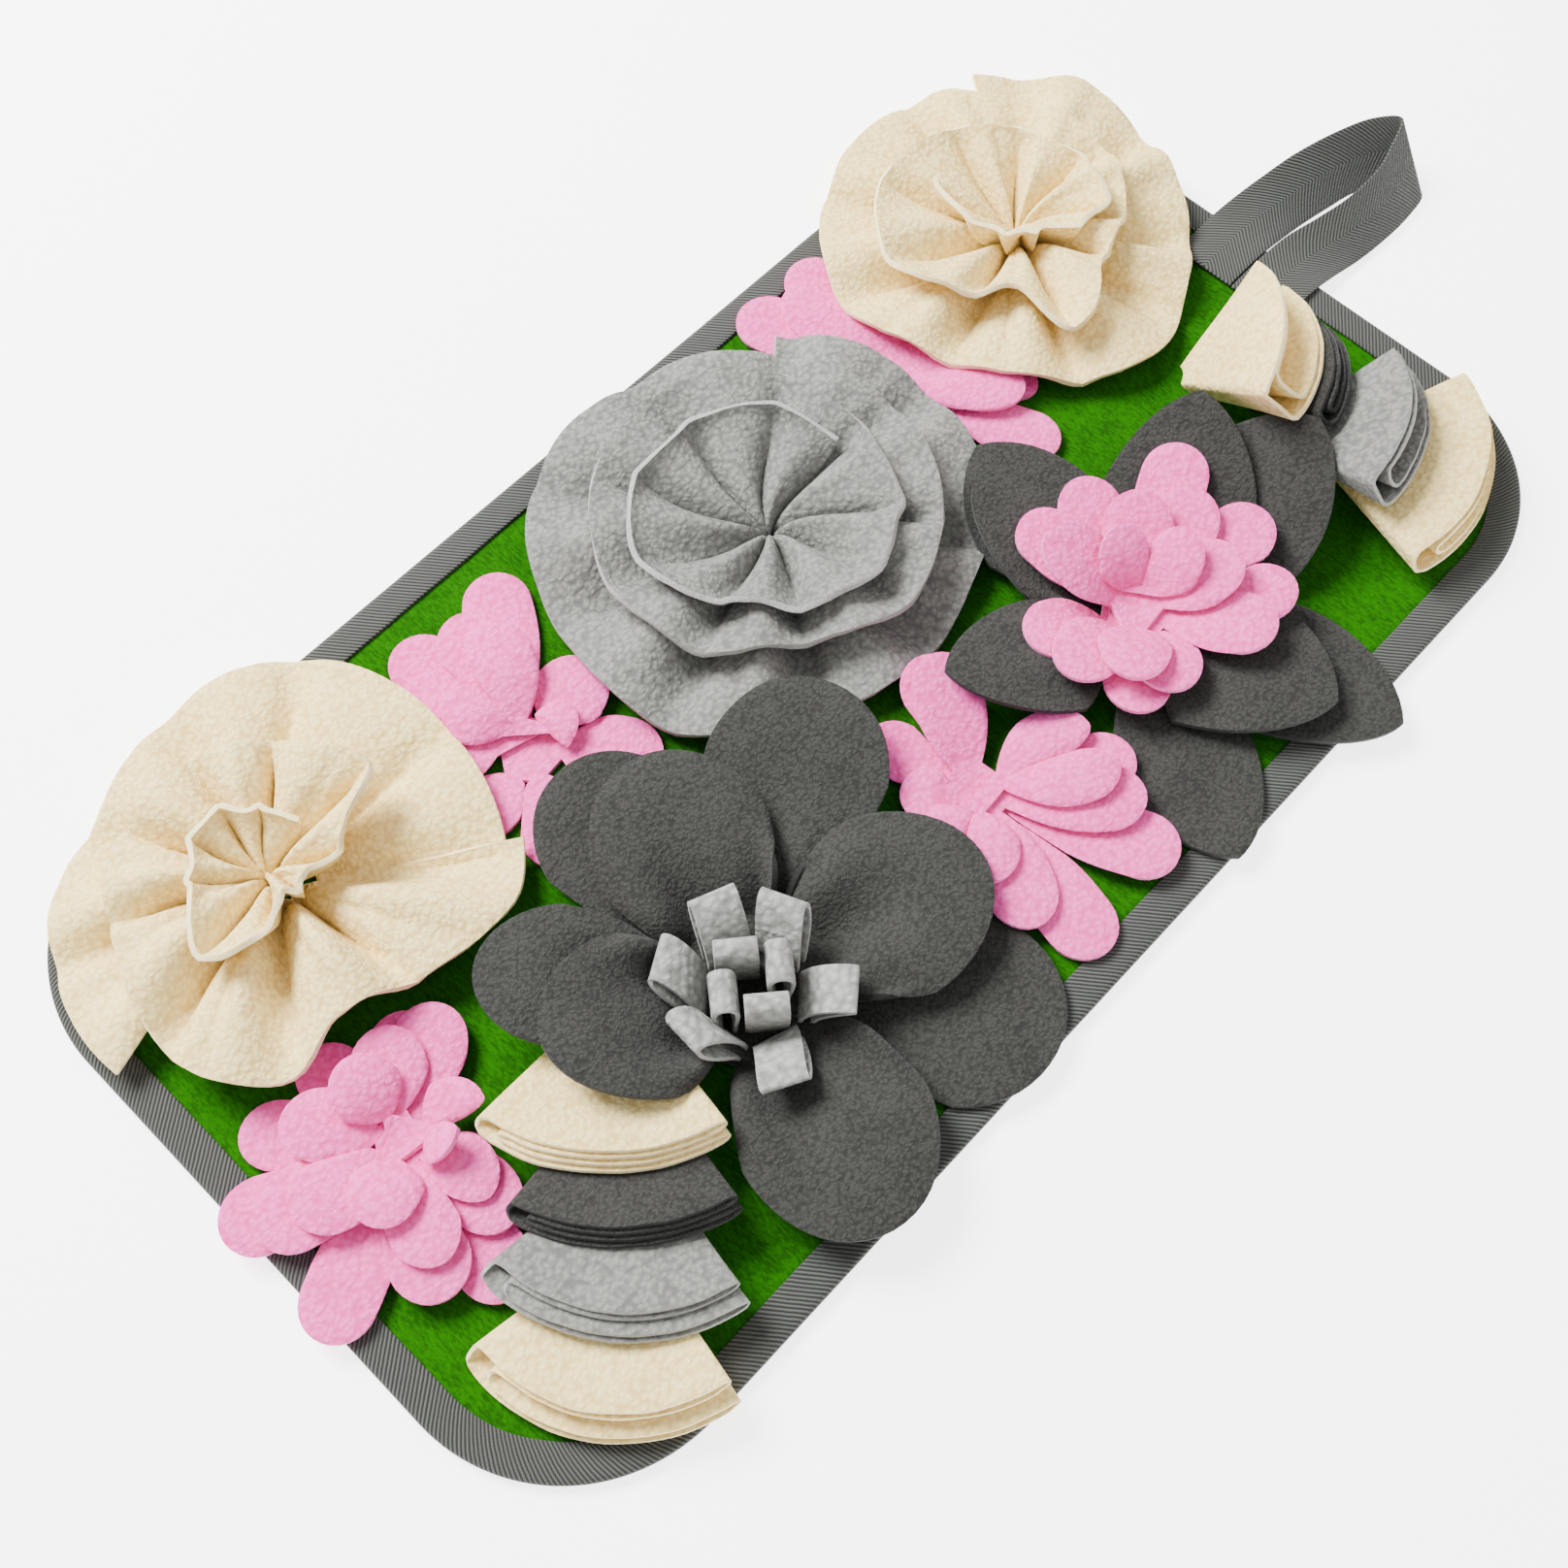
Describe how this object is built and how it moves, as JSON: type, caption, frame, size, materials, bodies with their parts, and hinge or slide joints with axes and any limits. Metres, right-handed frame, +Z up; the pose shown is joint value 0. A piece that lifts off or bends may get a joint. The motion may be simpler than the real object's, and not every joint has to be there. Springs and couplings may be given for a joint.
{
  "type": "snuffle_mat",
  "caption": "A snuffle mat for dogs: green felt bound with grey tape, with a hanging loop, gathered fleece roses, layered petal flowers and folded fleece tabs.",
  "frame": {"origin": "centre of the mat on the plane of its underside", "axes": "+X along the mat toward the hanging loop, +Y across the mat, +Z up from the floor"},
  "size_m": [0.5923, 0.305, 0.0544],
  "materials": {
    "green_felt": "needle-punched felt, matt and slightly fuzzy",
    "grey_tape": "woven twill tape, matt",
    "cream_fleece": "anti-pill fleece, pebbly and matt",
    "light_grey_fleece": "anti-pill fleece, pebbly and matt",
    "pink_fleece": "anti-pill fleece, pebbly and matt",
    "dark_grey_fleece": "anti-pill fleece, pebbly and matt"
  },
  "bodies": {
    "root": {"base": "green_felt", "binding": "grey_tape", "hanging_loop": "grey_tape", "pink_centre_layer_1": "pink_fleece", "pink_centre_layer_2": "pink_fleece", "pink_centre_layer_3": "pink_fleece", "pink_centre_layer_4": "pink_fleece", "pink_left_layer_1": "pink_fleece", "pink_left_layer_2": "pink_fleece", "pink_left_layer_3": "pink_fleece", "pink_left_layer_4": "pink_fleece", "pink_middle_layer_1": "pink_fleece", "pink_middle_layer_2": "pink_fleece", "pink_middle_layer_3": "pink_fleece", "pink_right_layer_1": "pink_fleece", "pink_right_layer_2": "pink_fleece", "pink_right_layer_3": "pink_fleece", "pink_top_layer_1": "pink_fleece", "pink_top_layer_2": "pink_fleece", "pointed_flower_layer_1": "dark_grey_fleece", "pointed_flower_layer_2": "dark_grey_fleece", "rose_grey": "light_grey_fleece", "rose_left": "cream_fleece", "rose_left_under": "cream_fleece", "rose_right": "cream_fleece", "round_flower_layer_1": "dark_grey_fleece", "round_flower_layer_2": "dark_grey_fleece", "stamen_1": "light_grey_fleece", "stamen_10": "light_grey_fleece", "stamen_2": "light_grey_fleece", "stamen_3": "light_grey_fleece", "stamen_4": "light_grey_fleece", "stamen_5": "light_grey_fleece", "stamen_6": "light_grey_fleece", "stamen_7": "light_grey_fleece", "stamen_8": "light_grey_fleece", "stamen_9": "light_grey_fleece", "tab_lower_1": "cream_fleece", "tab_lower_2": "light_grey_fleece", "tab_lower_3": "dark_grey_fleece", "tab_lower_4": "cream_fleece", "tab_upper_1": "cream_fleece", "tab_upper_2": "dark_grey_fleece", "tab_upper_3": "light_grey_fleece", "tab_upper_4": "cream_fleece"}
  },
  "joints": []
}
